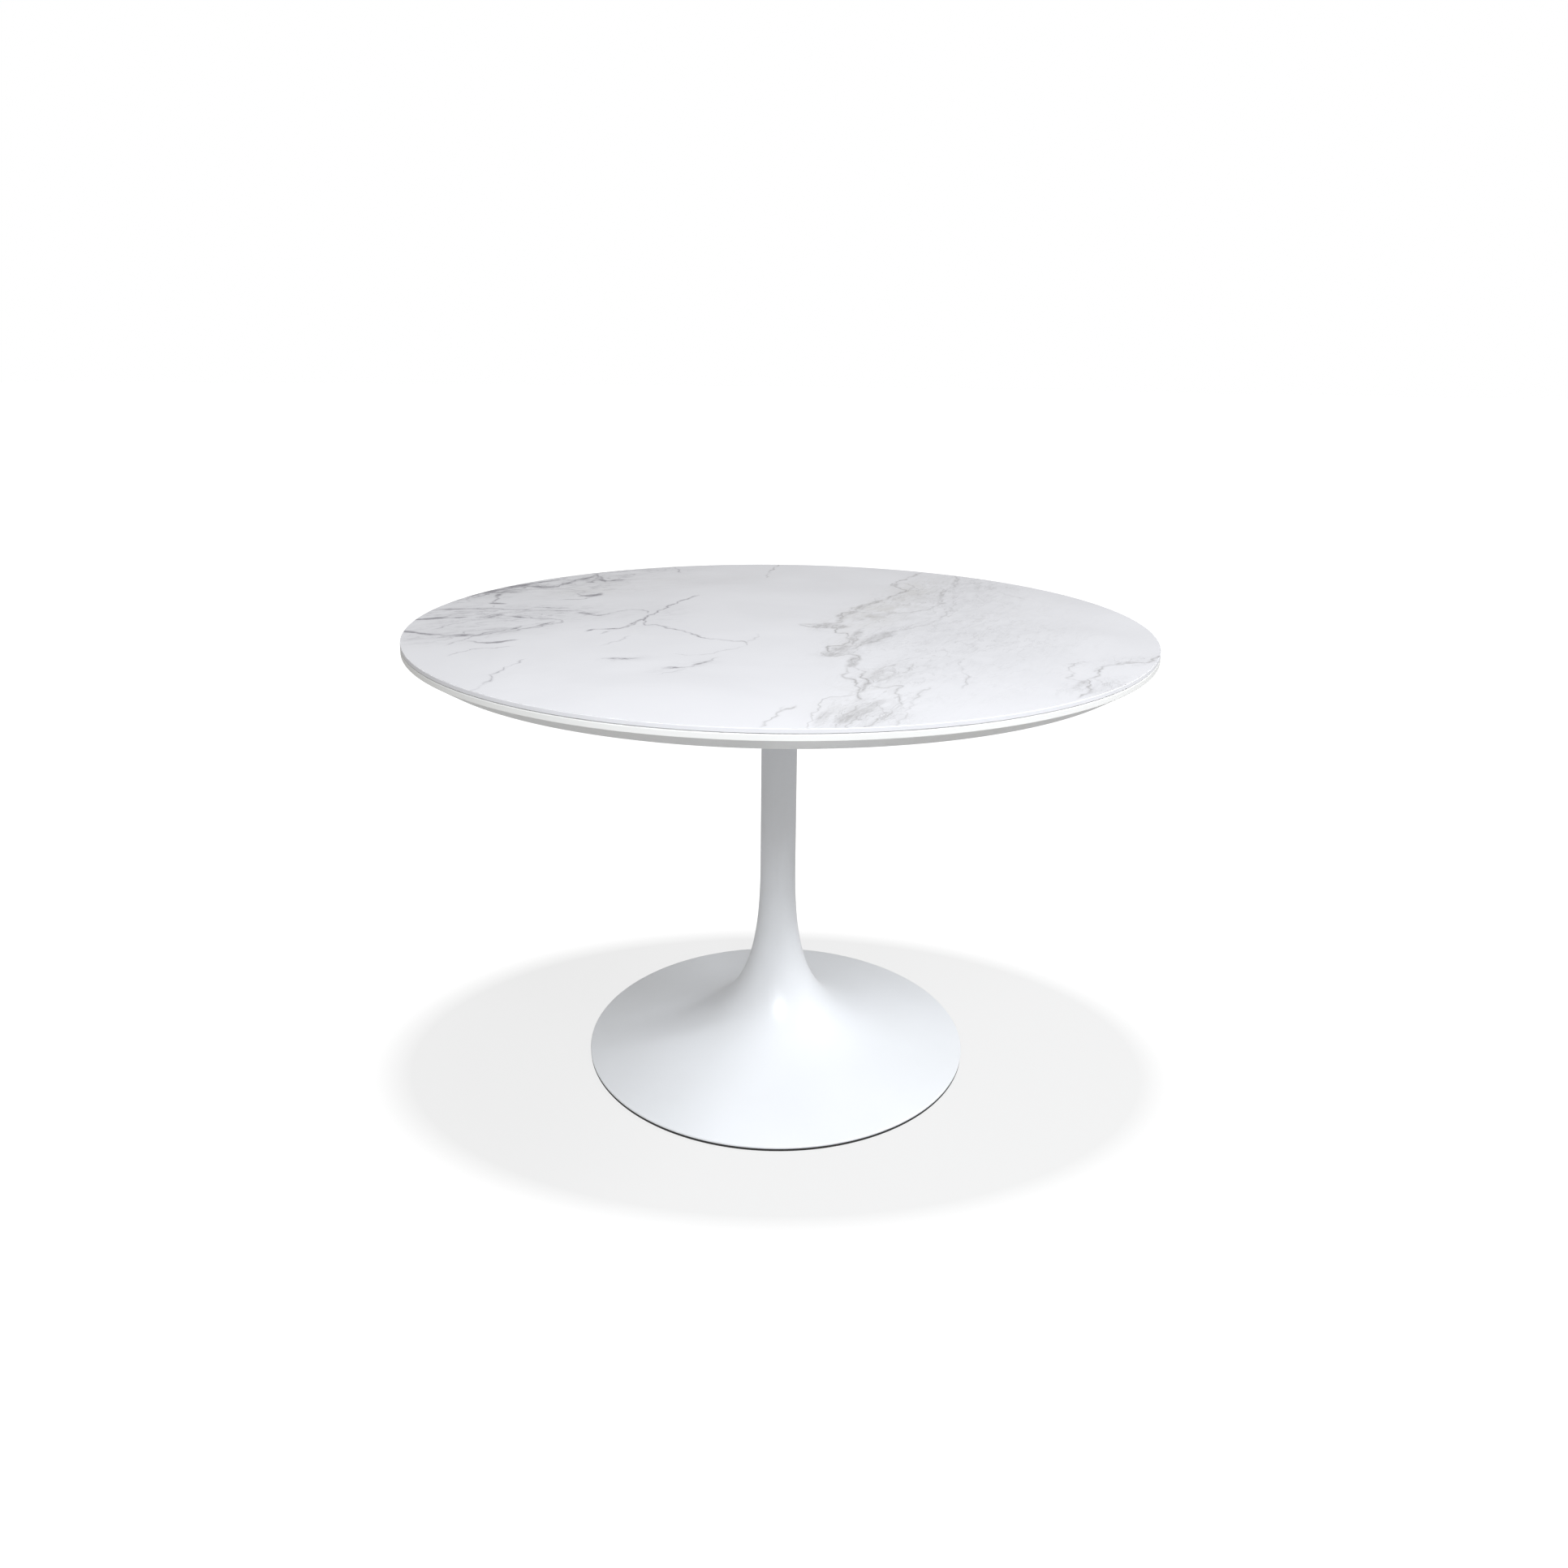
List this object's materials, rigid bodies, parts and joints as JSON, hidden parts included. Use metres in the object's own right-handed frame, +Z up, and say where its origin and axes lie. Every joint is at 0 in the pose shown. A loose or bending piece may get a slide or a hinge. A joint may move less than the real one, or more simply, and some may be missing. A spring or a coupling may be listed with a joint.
{
  "type": "round pedestal table",
  "caption": "Round dining table: thin marble-pattern stone top on a bevelled white board, carried by a slim white column that flares into a trumpet foot.",
  "frame": {"origin": "on the floor, at the centre of the foot", "axes": "+Z up along the column; +X and +Y are two radial directions of the round table, -Y towards the viewer"},
  "size_m": [1.2, 1.2, 0.75],
  "materials": {
    "sintered_stone": "satin-polished, white with grey marble veins",
    "adhesive": "matt grey",
    "white_lacquer": "smooth white lacquer on fibreboard",
    "white_powder_coat": "smooth satin-gloss white powder coat",
    "zinc_steel": "zinc plated",
    "cast_iron": "raw casting, dark primer",
    "black_coat": "matt black powder coat",
    "black_plastic": "moulded, matt",
    "black_rubber": "matt"
  },
  "bodies": {
    "root": {"stone_slab": "sintered_stone", "adhesive_layer": "adhesive", "backing_board": "white_lacquer", "board_insert_1": "zinc_steel", "board_insert_2": "zinc_steel", "board_insert_3": "zinc_steel", "board_insert_4": "zinc_steel", "board_insert_5": "zinc_steel", "board_insert_6": "zinc_steel", "board_insert_7": "zinc_steel", "board_insert_8": "zinc_steel", "mounting_plate": "white_powder_coat", "plate_screw_1": "zinc_steel", "plate_screw_2": "zinc_steel", "plate_screw_3": "zinc_steel", "plate_screw_4": "zinc_steel", "plate_screw_5": "zinc_steel", "plate_screw_6": "zinc_steel", "plate_screw_7": "zinc_steel", "plate_screw_8": "zinc_steel", "column_hub": "white_powder_coat", "hub_screw_1": "zinc_steel", "hub_screw_2": "zinc_steel", "hub_screw_3": "zinc_steel", "hub_screw_4": "zinc_steel", "column_tube": "white_powder_coat", "foot_neck": "white_powder_coat", "foot_skirt": "white_powder_coat", "joint_sleeve": "zinc_steel", "ballast_weight": "cast_iron", "tie_rod": "zinc_steel", "rod_washer": "zinc_steel", "rod_nut": "zinc_steel", "floor_plate": "black_coat", "base_screw_1": "zinc_steel", "base_screw_2": "zinc_steel", "base_screw_3": "zinc_steel", "base_screw_4": "zinc_steel", "base_screw_5": "zinc_steel", "base_screw_6": "zinc_steel", "nut_cover": "black_plastic", "floor_ring": "black_rubber"}
  },
  "joints": []
}
